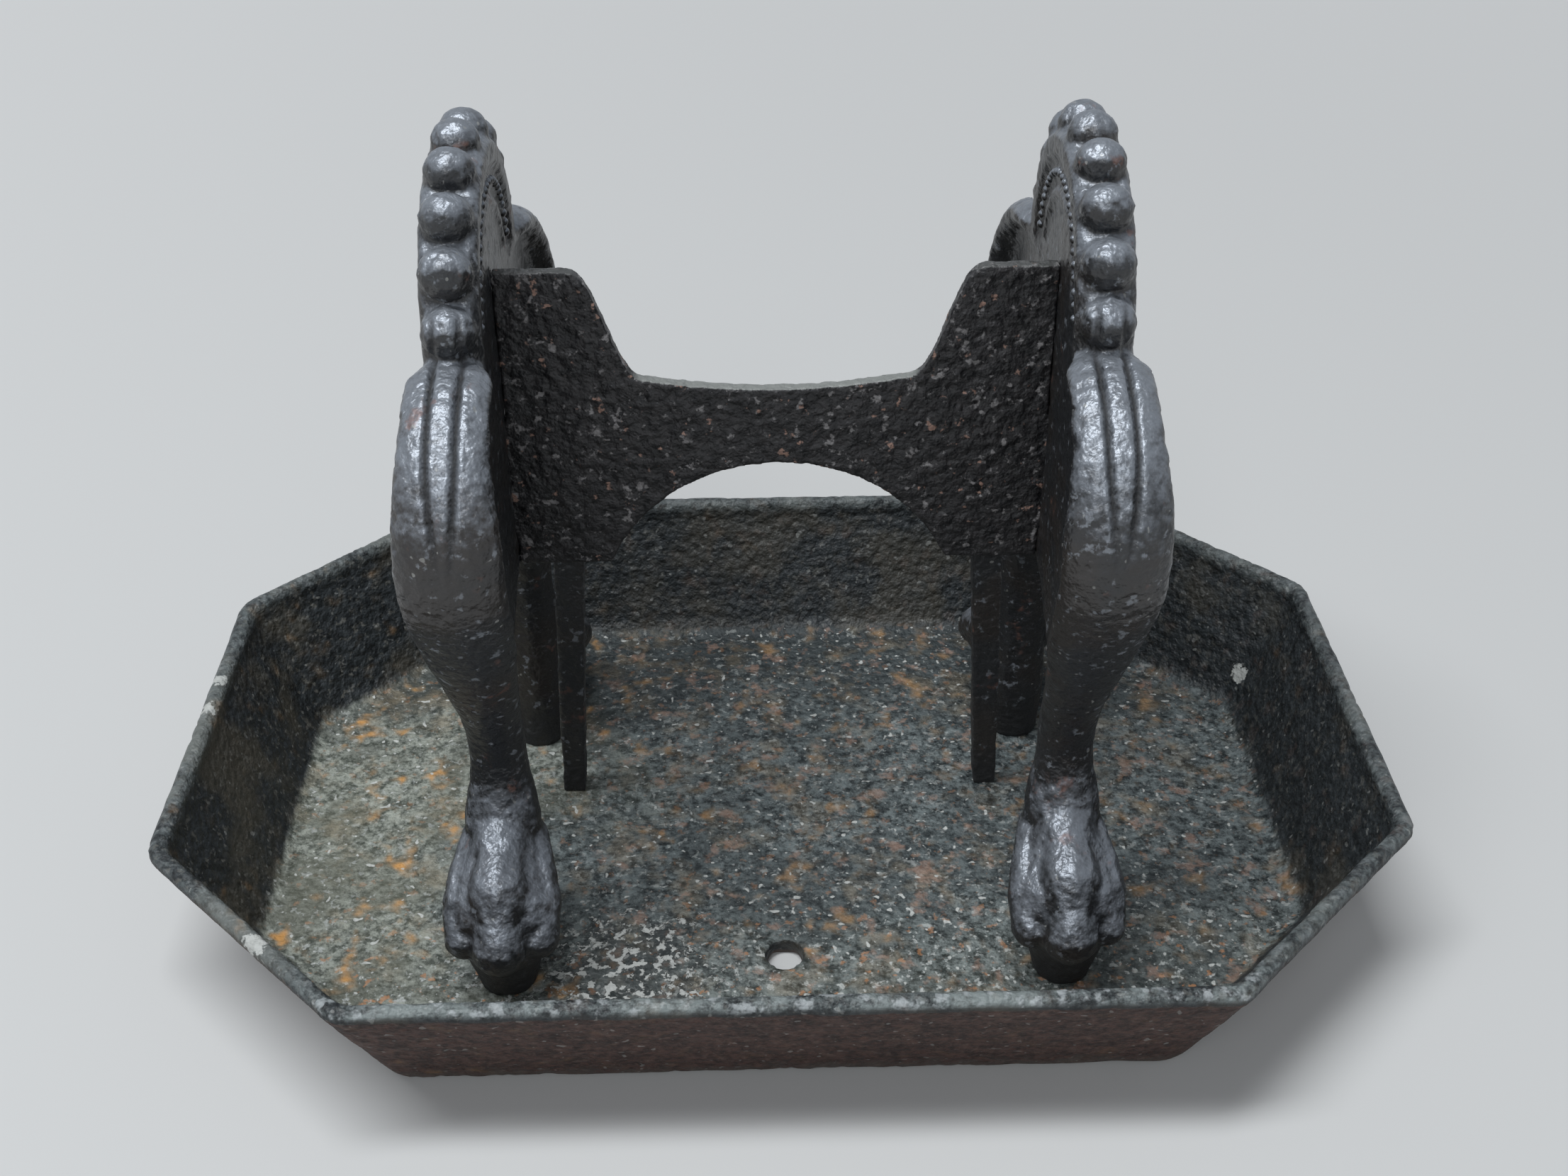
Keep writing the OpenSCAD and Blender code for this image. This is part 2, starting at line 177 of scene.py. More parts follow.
# %% Geometry Nodes helpers
def new_geometry_tree(name, inputs):
    """An empty Geometry Nodes tree with named inputs, as its graph and its input wires by name."""
    tree = bpy.data.node_groups.new(name, "GeometryNodeTree")
    for label, (kind, default) in inputs.items():
        socket = tree.interface.new_socket(label, in_out="INPUT", socket_type=kind)
        if default is not None:
            socket.default_value = default
    tree.interface.new_socket("Geometry", in_out="OUTPUT", socket_type="NodeSocketGeometry")
    graph = Graph(tree)
    entry = tree.nodes.new("NodeGroupInput")
    return graph, {label: Wire(graph, entry.outputs[label]) for label in inputs}


def close_geometry_tree(graph, geometry, material):
    """Ends a tree in Realize Instances and Set Material."""
    real = graph.add("GeometryNodeRealizeInstances", None, {"Geometry": geometry})
    painted = graph.add("GeometryNodeSetMaterial", None, {"Geometry": real, "Material": material})
    end = graph.tree.nodes.new("NodeGroupOutput")
    graph.feed(end.inputs["Geometry"], painted)
    return graph.tree


def raise_surface(graph, geometry, height):
    """Moves every point along its normal by height."""
    normal = graph.add("GeometryNodeInputNormal")
    offset = graph.add("ShaderNodeVectorMath", {"operation": "SCALE"}, {0: normal, "Scale": height})
    return graph.add("GeometryNodeSetPosition", None, {"Geometry": geometry, "Offset": offset})


print("helpers for geometry trees ready")

# %% [markdown]
# ## The skin of sand-cast iron
#
# A casting has no sharp edges, and its skin keeps the grain of the sand and the pits of long rusting. A copy of
# each solid is merged, remeshed into small even voxels, which rounds every edge at once, and smoothed. This tree
# then moves each point along its normal: lumps from one noise, and pits from another that is only let through
# where it is high. A bump in the material could fake this, but lumps of this size break up the outline too.

# %% Geometry Nodes tree: casting skin
PIT_SIZE = 3.6 * MM
PIT_PEAKS = (0.54, 0.68)
NOISE_MIDDLE = 0.5
LUMP_GAIN = 4  # a noise seldom leaves its middle by more than a quarter


def casting_skin_tree():
    graph, given = new_geometry_tree("Casting skin", {
        "Geometry": ("NodeSocketGeometry", None),
        "Lump height": ("NodeSocketFloat", 0.4 * MM),
        "Lumps per metre": ("NodeSocketFloat", 100.0),
        "Pit depth": ("NodeSocketFloat", 0.4 * MM),
        "Swell": ("NodeSocketFloat", 0.0),
        "Seed": ("NodeSocketFloat", 0.0),
        "Iron": ("NodeSocketMaterial", None),
    })
    place = graph.add("GeometryNodeInputPosition")
    shift = graph.add("ShaderNodeCombineXYZ", None, {axis: given["Seed"] for axis in range(3)})
    place = graph.add("ShaderNodeVectorMath", {"operation": "ADD"}, {0: place, 1: shift})
    lumps = graph.add("ShaderNodeTexNoise", None, {
        "Vector": place, "Scale": given["Lumps per metre"], "Detail": 2.0, "Roughness": 0.5})
    pits = graph.step(graph.noise(place, PIT_SIZE, detail=2), *PIT_PEAKS)
    height = (lumps - NOISE_MIDDLE) * given["Lump height"] * LUMP_GAIN - pits * given["Pit depth"] + given["Swell"]
    return close_geometry_tree(graph, raise_surface(graph, given["Geometry"], height), given["Iron"])


SKIN = casting_skin_tree()
print("casting skin tree:", len(SKIN.nodes), "nodes")

# %% [markdown]
# ## Reeds on the legs
#
# Two grooves run down the outer face of each leg and part it into three reeds. They start on the shoulder, follow
# the bend of the knee and close in on a point. They could be carved as curves, but a rule is shorter: the angle round
# the bend says where along the leg a point lies, and its distance from the middle of the leg says whether it lies in
# a groove. Math nodes are the same in Geometry Nodes and in materials, so the rule serves twice, to cut the grooves
# and to paint shade into them.

# %% The rule of the reeds
KNEE_Y = 49.5 * MM
KNEE_Z = 171 * MM
KNEE_R = 38 * MM
OUTER_FACE = (KNEE_R + 1 * MM, KNEE_R + 3 * MM)
GROOVE_PLACE = 3.9 * MM
GROOVE_HALF_W = 1.5 * MM
GROOVE_CLOSES_BY = 2.6 * MM
GROOVE_STARTS, GROOVE_CLOSES, GROOVE_ENDS = (
    [math.radians(angle) for angle in angles] for angles in ((-6, 8), (45, 100), (66, 94)))
frame_low, frame_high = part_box("end_frame_right")
FRAME_X = (frame_low[0] + frame_high[0]) / 2


def groove_mask(graph, place):
    """1 in the middle of a groove, falling to 0 at its edges."""
    across = abs(abs(graph.part(place, "X")) - FRAME_X)
    outward = abs(graph.part(place, "Y")) - KNEE_Y
    upward = graph.part(place, "Z") - KNEE_Z
    angle = outward.math("ARCTAN2", outward, upward)
    reach = outward * outward + upward * upward
    outer_face = graph.step(reach, *(distance ** 2 for distance in OUTER_FACE))
    along = graph.step(angle, *GROOVE_STARTS) * (1 - graph.step(angle, *GROOVE_ENDS))
    beside = abs(across - GROOVE_PLACE + graph.step(angle, *GROOVE_CLOSES) * GROOVE_CLOSES_BY)
    return (1 - graph.step(beside, 0, GROOVE_HALF_W)) * along * outer_face


print("the frames stand at x =", round(FRAME_X / MM, 1), "mm on both sides")

# %% [markdown]
# The solid's leg is made of flat facets, which would show as bands in the sheen. The tree for the legs first evens
# them out: Blur Attribute averages each point's place with its neighbours', but only on the leg, between the paw and
# the beads. A blur also makes the leg thinner, so it is done twice, and the loss between the first and the second
# blur is given back. Then the tree cuts the grooves.

# %% Geometry Nodes tree: reeded legs
LEG_STARTS_OUT = (24 * MM, 34 * MM)
PAW_TOP = (62 * MM, 78 * MM)
BEADS_BOTTOM = (204 * MM, 212 * MM)


def reed_tree():
    graph, given = new_geometry_tree("Reeded legs", {
        "Geometry": ("NodeSocketGeometry", None),
        "Evening": ("NodeSocketInt", 50),
        "Groove depth": ("NodeSocketFloat", 1.2 * MM),
        "Iron": ("NodeSocketMaterial", None),
    })
    place = graph.add("GeometryNodeInputPosition")
    out, height = abs(graph.part(place, "Y")), graph.part(place, "Z")
    on_leg = graph.step(out, *LEG_STARTS_OUT) * graph.step(height, *PAW_TOP)
    on_leg = on_leg * (1 - graph.step(height, *BEADS_BOTTOM))
    blurs = [place]
    for _ in range(2):
        blurs.append(graph.add("GeometryNodeBlurAttribute", {"data_type": "FLOAT_VECTOR"}, {
            "Value": blurs[-1], "Iterations": given["Evening"], "Weight": on_leg}))
    loss = graph.add("ShaderNodeVectorMath", {"operation": "SUBTRACT"}, {0: blurs[1], 1: blurs[2]})
    even = graph.add("ShaderNodeVectorMath", {"operation": "ADD"}, {0: blurs[1], 1: loss})
    evened = graph.add("GeometryNodeSetPosition", None, {"Geometry": given["Geometry"], "Position": even})
    lift = groove_mask(graph, graph.add("GeometryNodeInputPosition")) * given["Groove depth"] * -1
    return close_geometry_tree(graph, raise_surface(graph, evened, lift), given["Iron"])


REEDS = reed_tree()
print("reed tree:", len(REEDS.nodes), "nodes")

# %% [markdown]
# ## From a solid to a plain mesh
#
# The solid itself is never touched. Its mesh is copied, and the loose triangles are merged so that the remesher
# sees one closed surface. The modifiers are then applied by asking Blender for the evaluated result, which gives
# a plain mesh with nothing live on it. A tree's inputs are set by the identifiers behind their names, because that
# is what a modifier knows them by.

# %% Copies, trees and plain meshes
MERGE_DISTANCE = 0.002 * MM


def linked_object(name, data):
    """A new object in the scene."""
    obj = bpy.data.objects.new(name, data)
    bpy.context.collection.objects.link(obj)
    return obj


def merged_copy(nodes):
    """A copy of the meshes of some packed nodes, as one mesh with its loose triangles joined."""
    work = bmesh.new()
    for node in nodes:
        work.from_mesh(frame["nodes"][node].data)
    bmesh.ops.remove_doubles(work, verts=work.verts, dist=MERGE_DISTANCE)
    mesh = bpy.data.meshes.new("work")
    work.to_mesh(mesh)
    work.free()
    return linked_object("work", mesh)


def add_tree(obj, tree, values):
    """Puts a Geometry Nodes tree on an object and sets its inputs."""
    modifier = obj.modifiers.new(tree.name, "NODES")
    modifier.node_group = tree
    names = {item.name: item.identifier for item in tree.interface.items_tree
             if item.item_type == "SOCKET" and item.in_out == "INPUT"}
    for label, value in values.items():
        modifier[names[label]] = value


def plain_mesh(obj, name):
    """The evaluated object as a plain mesh object of its own; the worked one is removed."""
    evaluated = obj.evaluated_get(bpy.context.evaluated_depsgraph_get())
    mesh = bpy.data.meshes.new_from_object(evaluated)
    bpy.data.objects.remove(obj)
    mesh.name = name
    for polygon in mesh.polygons:
        polygon.use_smooth = True
    return linked_object(name, mesh)


print("solids to dress:", len(frame["nodes"]))

# %% [markdown]
# ## Dressing a casting
#
# One function takes a solid through all of it: voxels, soft edges, reeds where it has them, and the skin. It then
# parents the piece to the body that it moves with and hides the solid that it stands for; its material comes in
# through the trees.

# %% Dressing a casting
SOFTENING = 0.5


def cast_piece(name, node, body, material, voxel, smoothing, skin, reeded=False, filled_by=()):
    """A dressed casting that stands for a packed node; other nodes may fill its holes."""
    obj = merged_copy((node, *filled_by))
    remesh = obj.modifiers.new("Sand", "REMESH")
    remesh.mode = "VOXEL"
    remesh.voxel_size = voxel
    smooth = obj.modifiers.new("Soft edges", "SMOOTH")
    smooth.factor = SOFTENING
    smooth.iterations = smoothing
    if reeded:
        add_tree(obj, REEDS, {"Iron": material})
    add_tree(obj, SKIN, {**skin, "Iron": material})
    piece = plain_mesh(obj, name)
    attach(piece, body)
    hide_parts(node)
    triangles = sum(len(p.vertices) - 2 for p in piece.data.polygons)
    print(name, "has", triangles, "triangles")


print("edges are softened by", SOFTENING, "of the way to their neighbours at each pass")

# %% [markdown]
# ## Masks that all the old iron shares
#
# All the iron had one coat of black paint. It keeps a dull sheen where hands and boots polish it, lets rust through
# in blots, and holds pale grit in its pits. The finishes are built from the same few masks, so that the pieces look
# like one object. The masks read Object coordinates, which stay with a piece wherever it moves. A blot is a noise
# that is only let through where it peaks, which gives ragged edges of every size, as rust has.

# %% Iron: a material with its masks
PATCH, CLOUD, DENT, SAND, GRAIN = (size * MM for size in (34, 6, 3.2, 2.4, 1.7))
RAGGED_EDGE = 20 * MM
MARK_RAGGED = 1.6
MARK_CORE = 0.75
MARK_FRINGE = 2 * MM


class Iron(Graph):
    """A material tree with the masks that old painted iron needs."""

    def __init__(self, name):
        self.material = bpy.data.materials.new(name)
        self.material.use_nodes = True
        super().__init__(self.material.node_tree)
        self.shader = self.tree.nodes["Principled BSDF"]
        self.place = self.add("ShaderNodeTexCoord", out="Object")
        self.x, self.y, self.z = (self.part(self.place, axis) for axis in "XYZ")
        self.facing = self.part(self.add("ShaderNodeTexCoord", out="Normal"), "Z")
        self.upward = self.step(self.facing, -0.15, 0.85)
        bend = self.add("ShaderNodeNewGeometry", out="Pointiness")
        self.raised = self.step(bend, 0.5, 0.57)
        # Hollows are the creases; painted iron paints shade into them and keeps its rubbing out of them.
        self.hollow_shade_and_shelter = 1 - self.step(bend, 0.42, 0.495)
        self.patches = self.noise(self.place, PATCH, detail=4, roughness=0.6)
        self.clouds = self.noise(self.place, CLOUD, detail=3, roughness=0.55, distortion=0.4)
        self.dents = self.noise(self.place, DENT, detail=2)
        self.grain = self.noise(self.place, GRAIN, detail=3, roughness=0.6)
        self.fine = self.noise(self.place, SAND, detail=4, roughness=0.72) * 0.65 + self.clouds * 0.35
        self.mottle = self.step(self.fine, 0.38, 0.63)

    def blots(self, size, low, high, shift=0.0):
        """Ragged blots where a noise peaks; the shift moves them, so that two kinds of blots differ."""
        place = self.add("ShaderNodeVectorMath", {"operation": "ADD"}, {0: self.place, 1: (shift, shift, shift)})
        return self.step(self.noise(place, size, detail=3, roughness=0.6), low, high)

    def specks(self, size, low, high):
        """Small round specks, far apart."""
        return self.step(self.noise(self.place, size, detail=0), low, high)

    def mark(self, point, radius):
        """One ragged blot round a point."""
        far = self.add("ShaderNodeVectorMath", {"operation": "DISTANCE"}, {0: self.place, 1: point}, out="Value")
        ragged = (self.clouds + self.grain - 2 * NOISE_MIDDLE) * (MARK_FRINGE + radius)
        return 1 - self.step(far + ragged * MARK_RAGGED, radius * MARK_CORE, radius)

    def below(self, low, high):
        """1 below a height and 0 above it, with a ragged edge."""
        return 1 - self.step(self.z + (self.clouds - NOISE_MIDDLE) * RAGGED_EDGE, low, high)

    def close(self, colour, roughness, relief, depth, specular, metallic=0.0):
        """Feeds the shader; relief is a height from 0 to 1 and depth its size in metres."""
        self.feed(self.shader.inputs["Base Color"], colour)
        self.feed(self.shader.inputs["Metallic"], metallic)
        self.feed(self.shader.inputs["Roughness"], roughness)
        bump = self.add("ShaderNodeBump", None, {"Strength": 1.0, "Distance": depth, "Height": relief})
        self.feed(self.shader.inputs["Normal"], bump)
        self.shader.inputs["Specular IOR Level"].default_value = specular
        return self.material


print("masks from patches of", PATCH / MM, "mm to grains of", GRAIN / MM, "mm")

# %% [markdown]
# ## Black paint on the end frames and the stays
#
# The paint on the frames is still nearly whole, so it is almost black and a little glossy. What breaks it up is its
# relief: the highlights scatter over the lumps of the casting. What faces up is rubbed to a blue-grey, partly a
# painted sheen, and is half bare metal there, which Metallic says. Hollows, grooves and the soles get painted shade
# in almost black, a brown cast shows where the paint is thin, pale spots are painted glints and partly scuff marks,
# and a few red rust spots and grains of pale grit sit between them.

# %% Painted iron
BLACK = (0.015, 0.016, 0.018, 1)
BROWN_BLACK = (0.022, 0.018, 0.016, 1)
# Almost black, for painted shade in the hollows, in the grooves and on the soles close to the floor.
SHADE_BLACK = (0.007, 0.007, 0.008, 1)
# Blue-grey of rubbed paint, partly a painted sheen on top faces and painted glints.
WORN_SHEEN_GREY = (0.25, 0.27, 0.3, 1)
RED_RUST = (0.22, 0.10, 0.07, 1)
PALE_GRIT = (0.38, 0.38, 0.36, 1)
PAINT_RELIEF = 1.3 * MM
# Heights at which the painted shade on the soles close to the floor fades out.
LOW_SHADE_EDGE = (14 * MM, 30 * MM)


def painted_iron(name, roughness, wear_and_sheen_share):
    iron = Iron(name)
    thin_paint = iron.step(iron.patches, 0.42, 0.62)
    # Rubbed paint on top faces and edges, partly a painted sheen where faces look up.
    wear_and_sheen = iron.step(iron.clouds * 0.5 + iron.grain * 0.4 + iron.upward * 0.5 + iron.raised * 0.16, 0.6, 1.04)
    # Pale spots on the frames are painted glints, partly scuff marks.
    pale_spots = iron.blots(3.6 * MM, 0.6, 0.69, shift=1.1)
    rust = iron.blots(15 * MM, 0.62, 0.7, shift=0.3) * iron.blots(4 * MM, 0.46, 0.62, shift=0.7)
    grit = iron.specks(1.9 * MM, 0.79, 0.85)
    groove = groove_mask(iron, iron.place)
    # Painted shade on the soles and the lowest parts, close to the floor.
    low_shade = iron.below(*LOW_SHADE_EDGE)
    # The almost black coats paint shade into the hollows, the grooves and the low parts.
    colour = iron.coats(
        iron.blend(thin_paint, BLACK, BROWN_BLACK),
        (wear_and_sheen * wear_and_sheen_share, WORN_SHEEN_GREY), (pale_spots * 0.6, WORN_SHEEN_GREY), (rust * 0.5, RED_RUST), (grit * 0.5, PALE_GRIT),
        (iron.hollow_shade_and_shelter * 0.85, SHADE_BLACK), (groove * 0.9, SHADE_BLACK), (low_shade * 0.9, SHADE_BLACK))
    bare = wear_and_sheen * (1 - iron.hollow_shade_and_shelter) * 0.5
    dull = rust * 0.2 + groove * 0.4 + low_shade * 0.3
    relief = iron.dents * 0.8 + iron.grain * 0.2 - groove * 0.25
    return iron.close(
        colour, roughness + iron.grain * 0.14 + dull, relief, PAINT_RELIEF, specular=0.75, metallic=bare)


FRAME_IRON = painted_iron("aged_frame_iron", roughness=0.31, wear_and_sheen_share=0.95)
STAY_IRON = painted_iron("aged_stay_iron", roughness=0.42, wear_and_sheen_share=0.4)
print("painted iron:", FRAME_IRON.name, STAY_IRON.name)

# %% [markdown]
# ## The blade
#
# The plate is the most battered piece: soles have scraped it for years. It is brown-black and full of fine dents,
# with pale scuffs and pinkish rust freckles. Its top edge is rubbed to a thin line of bare grey metal between the
# horns, where the soles go, and hardly at all on the horns. The edge is found by the way that it faces, up.

# %% Blade iron
PLATE_BLACK = (0.005, 0.005, 0.006, 1)
PLATE_BROWN = (0.034, 0.032, 0.033, 1)
SCUFF_GREY = (0.34, 0.325, 0.325, 1)
FRECKLE_RUST = (0.44, 0.27, 0.21, 1)
BARE_GREY = (0.26, 0.27, 0.255, 1)
PLATE_ROUGHNESS = 0.34
PLATE_RELIEF = 1.7 * MM
SCRAPED_HALF = (38 * MM, 50 * MM)


def blade_iron(name):
    iron = Iron(name)
    pale_spots = iron.blots(3.4 * MM, 0.59, 0.69, shift=0.5)
    rust = iron.blots(4.2 * MM, 0.64, 0.71, shift=0.9)
    scraped = 1 - iron.step(abs(iron.x), *SCRAPED_HALF)
    edge = iron.step(iron.facing + (iron.grain - NOISE_MIDDLE) * 0.5, 0.6, 0.9)
    colour = iron.coats(
        iron.blend(iron.mottle, PLATE_BLACK, PLATE_BROWN),
        (pale_spots * 0.65, SCUFF_GREY), (rust * 0.7, FRECKLE_RUST), (edge * (0.2 + scraped * 0.65), BARE_GREY))
    relief = iron.dents * 0.7 + iron.grain * 0.3
    roughness = PLATE_ROUGHNESS + iron.grain * 0.16 + rust * 0.2
    return iron.close(colour, roughness, relief, PLATE_RELIEF, specular=0.5)


BLADE_IRON = blade_iron("aged_blade_iron")
print("blade iron:", BLADE_IRON.name)

# %% [markdown]
# ## The tray's walls
#
# The tray is one casting, but dirt and water have treated its floor, its walls and its rim differently. One material
# with masks does it, because the three run into each other without an edge. The walls have stayed blue-black inside,
# with ochre dirt at the left, and gone brown outside, where the ground has splashed them grey at the bottom. Small
# pale spots on the walls are painted glints. The walls lean, so a face that looks down a little is an outer one.

# %% Walls of the tray
WALL_BLACK = (0.005, 0.007, 0.008, 1)
WALL_GREY = (0.031, 0.037, 0.04, 1)
WALL_OCHRE = (0.08, 0.07, 0.05, 1)
# Colours of the painted glints on the walls, inside and outside.
WALL_GLINT = (0.17, 0.165, 0.145, 1)
OUTSIDE_BLACK = (0.018, 0.008, 0.006, 1)
OUTSIDE_BROWN = (0.078, 0.039, 0.03, 1)
OUTSIDE_GLINT = (0.16, 0.11, 0.09, 1)
GROUND_DIRT = (0.15, 0.13, 0.11, 1)
SPLASH_EDGE = (1 * MM, 10 * MM)
LEFT_WALL = (-180 * MM, -130 * MM)


def wall_colour(iron):
    outside = 1 - iron.step(iron.facing, -0.35, -0.1)
    at_left = 1 - iron.step(iron.x, *LEFT_WALL)
    dirt = iron.step(iron.patches, 0.46, 0.62) * (0.4 + at_left * 0.3)
    # Painted glints on the lumps of the walls, inside and out.
    pale_spots = iron.blots(3 * MM, 0.55, 0.68, shift=5.3)
    inner = iron.coats(
        iron.blend(iron.mottle, WALL_BLACK, WALL_GREY),
        (dirt, WALL_OCHRE), (pale_spots * (0.3 + at_left * 0.25), WALL_GLINT))
    outer = iron.coats(iron.blend(iron.mottle, OUTSIDE_BLACK, OUTSIDE_BROWN), (pale_spots * 0.3, OUTSIDE_GLINT))
    return iron.coats(inner, (outside * 0.95, outer), (outside * iron.below(*SPLASH_EDGE) * 0.4, GROUND_DIRT))


print("left wall's dirt fades from x =", LEFT_WALL[0] / MM, "to", LEFT_WALL[1] / MM, "mm")

# %% [markdown]
# ## The tray's floor
#
# Dirt and water have lain on the floor, so its paint has gone grey-green and sandy: pale at the left, dark and full
# of grains elsewhere. It is darkest at the back and in broad blots, partly painted shade and partly dirt that stays
# wet. In front the sand is paler, partly painted light and partly pale dirt, and more pale flecks and rust specks lie
# there. A wide noise that is tilted along X moves the floor from pale to dark with a ragged border.

# %% Floor of the tray
DARK_SAND = ((0.006, 0.011, 0.012, 1), (0.186, 0.218, 0.218, 1))
PALE_SAND = ((0.055, 0.064, 0.05, 1), (0.355, 0.375, 0.325, 1))
OLIVE_DIRT = (0.115, 0.118, 0.088, 1)
# Almost black for painted shade at the back and in broad blots, partly wet dirt.
SHADE_AND_DAMP_BLACK = (0.018, 0.024, 0.026, 1)
PALE_FLECK = (0.46, 0.48, 0.46, 1)
FLOOR_OCHRE = (0.34, 0.25, 0.14, 1)
FLOOR_RUST = (0.46, 0.22, 0.1, 1)
PALE_BORDER_X = -80 * MM
PALE_TILT = 4  # per metre along X
FRONT_LIGHT_AND_DIRT_Y = (-90 * MM, -30 * MM)
BACK_SHADE_Y = (20 * MM, 85 * MM)
BACK_SHADE_RAGGED = 160 * MM


def floor_colour(iron):
    broad = iron.noise(iron.place, 60 * MM, detail=4, roughness=0.6, distortion=0.8)
    pale = iron.step(broad - (iron.x - PALE_BORDER_X) * PALE_TILT, 0.36, 0.74)
    # Paler sand in front: partly painted light, partly pale dirt with more flecks and rust specks.
    front_light_and_dirt = 1 - iron.step(iron.y, *FRONT_LIGHT_AND_DIRT_Y)
    # Darker towards the back: partly painted shade, partly dirt.
    back_shade_and_dirt = iron.step(iron.y + (iron.patches - NOISE_MIDDLE) * BACK_SHADE_RAGGED, *BACK_SHADE_Y)
    # Broad dark blots away from the pale sand: partly painted shade, partly wet dirt.
    shade_and_damp = iron.blots(75 * MM, 0.5, 0.6, shift=0.37) * (1 - pale)
    dirt = iron.step(iron.patches, 0.46, 0.62)
    pale_sand = iron.coats(iron.blend(iron.mottle, *PALE_SAND), (dirt * 0.68, OLIVE_DIRT))
    dark_sand = iron.coats(iron.blend(iron.mottle, *DARK_SAND), (front_light_and_dirt * 0.3, pale_sand))
    flecks = iron.blots(2.8 * MM, 0.58, 0.67, shift=1.7) * (0.45 + front_light_and_dirt * 0.55)
    ochre = iron.blots(16 * MM, 0.5, 0.68, shift=2.9) * (0.12 + iron.mottle * 0.2)
    rust = iron.blots(4.5 * MM, 0.6, 0.68, shift=6.1) * (0.25 + front_light_and_dirt * 0.5)
    return iron.coats(
        dark_sand, (pale, pale_sand), (back_shade_and_dirt * 0.7, SHADE_AND_DAMP_BLACK), (shade_and_damp * 0.45, SHADE_AND_DAMP_BLACK),
        (flecks, PALE_FLECK), (ochre, FLOOR_OCHRE), (rust, FLOOR_RUST))


print("floor darkens from y =", BACK_SHADE_Y[0] / MM, "to", BACK_SHADE_Y[1] / MM, "mm")

# %% [markdown]
# ## The tray as a whole
#
# Height and the direction that a face looks in tell floor, walls and rim apart. Boots have rubbed the front of the
# rim to a pale grey, and the brighter blots on it are painted highlights, partly rubbed spots. Rust stains lie over
# floor and walls alike, orange at the left and salmon elsewhere. Lime has crumbled on a heap of black dirt in front,
# and four splashes of it have dried on the rim and the right-hand wall.

# %% Tray iron
RUBBED_GREY = (0.25, 0.285, 0.28, 1)
# Pale grey for painted highlights on the rim, partly rubbed spots.
GLINT_AND_RUBBED_GREY = (0.48, 0.51, 0.52, 1)
STAIN_OCHRE = (0.38, 0.25, 0.13, 1)
STAIN_ORANGE = (0.62, 0.31, 0.09, 1)
STAIN_SALMON = (0.42, 0.26, 0.19, 1)
HEAP_BLACK = (0.02, 0.024, 0.025, 1)
LIME = (0.58, 0.59, 0.56, 1)
LIME_SPLASHES = (
    (Vector((178.5, 60.5, 18.5)) * MM, 3.5 * MM),
    (Vector((-156, -108.5, 55)) * MM, 4.5 * MM),
    (Vector((-197.5, 20, 55)) * MM, 3 * MM),
    (Vector((-197.5, 4, 55)) * MM, 3 * MM),
)
CRUMB_HEAP, HEAP_R = Vector((-52, -80, 6)) * MM, 30 * MM
FLOOR_TOP = (9 * MM, 15 * MM)
RIM_BOTTOM = (50 * MM, 53.5 * MM)
FRONT_RIM_Y = (-137 * MM, -118 * MM)
LEFT_FLOOR = (-90 * MM, -50 * MM)
TRAY_ROUGHNESS = 0.44
TRAY_RELIEF = 1.9 * MM


def tray_iron(name):
    iron = Iron(name)
    floor = iron.step(iron.facing, 0.6, 0.92) * (1 - iron.step(iron.z, *FLOOR_TOP))
    rim = iron.step(iron.z, *RIM_BOTTOM) * iron.step(iron.facing, -0.1, 0.5)
    front = 1 - iron.step(iron.y, *FRONT_RIM_Y)
    rubbed = rim * (0.4 + 0.45 * front) * iron.step(iron.patches * 0.5 + iron.fine * 0.5, 0.4, 0.57)
    # Brighter blots on the rim: painted highlights, partly rubbed bare spots.
    rim_glint_and_rubbing = rim * (0.12 + 0.5 * front) * iron.blots(5 * MM, 0.52, 0.64, shift=3.7)

    at_left = 1 - iron.step(iron.x, *LEFT_FLOOR)
    on_floor = 0.12 + floor * 0.88
    stain = iron.noise(iron.place, 10 * MM, detail=2)
    ochre = iron.step(stain, 0.56, 0.72) * on_floor * (0.25 + at_left * 0.4)
    orange = iron.step(stain, 0.64, 0.77) * on_floor * (0.25 + at_left * 0.7)
    salmon = iron.blots(8 * MM, 0.57, 0.7, shift=4.3) * on_floor * (1 - at_left)
    grit = iron.specks(2.2 * MM, 0.75, 0.81) * (0.25 + floor * 0.75)
    heap = iron.mark(CRUMB_HEAP, HEAP_R) * floor
    crumbs = iron.blots(3.2 * MM, 0.52, 0.57, shift=4.9) * heap
    splashes = [(iron.mark(point, radius) * 0.8, LIME) for point, radius in LIME_SPLASHES]
    colour = iron.coats(
        wall_colour(iron), (floor, floor_colour(iron)), (rubbed, RUBBED_GREY), (rim_glint_and_rubbing, GLINT_AND_RUBBED_GREY),
        (ochre, STAIN_OCHRE), (orange, STAIN_ORANGE), (salmon * 0.45, STAIN_SALMON), (grit * 0.85, LIME),
        (heap * 0.6, HEAP_BLACK), (crumbs * 0.85, LIME), *splashes)

    relief = iron.dents * 0.9 + iron.grain * 0.2 + crumbs * 0.2
    dull = floor * 0.08 + (1 - iron.step(iron.facing, -0.35, 0)) * 0.25
    roughness = TRAY_ROUGHNESS + iron.grain * 0.18 + dull
    return iron.close(colour, roughness, relief, TRAY_RELIEF, specular=0.5)


TRAY_IRON = tray_iron("aged_tray_iron")
print("tray iron:", TRAY_IRON.name, "with", len(LIME_SPLASHES), "splashes of lime")

# %% [markdown]
# ## The castings
#
# Each piece gets the smallest voxels that keep it under the limit of triangles and still cost little time. The tray
# is large and plain, and its grain comes mostly from the finish, so its voxels can be the biggest. The rivets are
# hammered flush with the blade and painted over, so the blade's own skin runs across their front ends, and the
# rivets' pieces shrink a little to stay under it. Only their heads show, behind the stays.

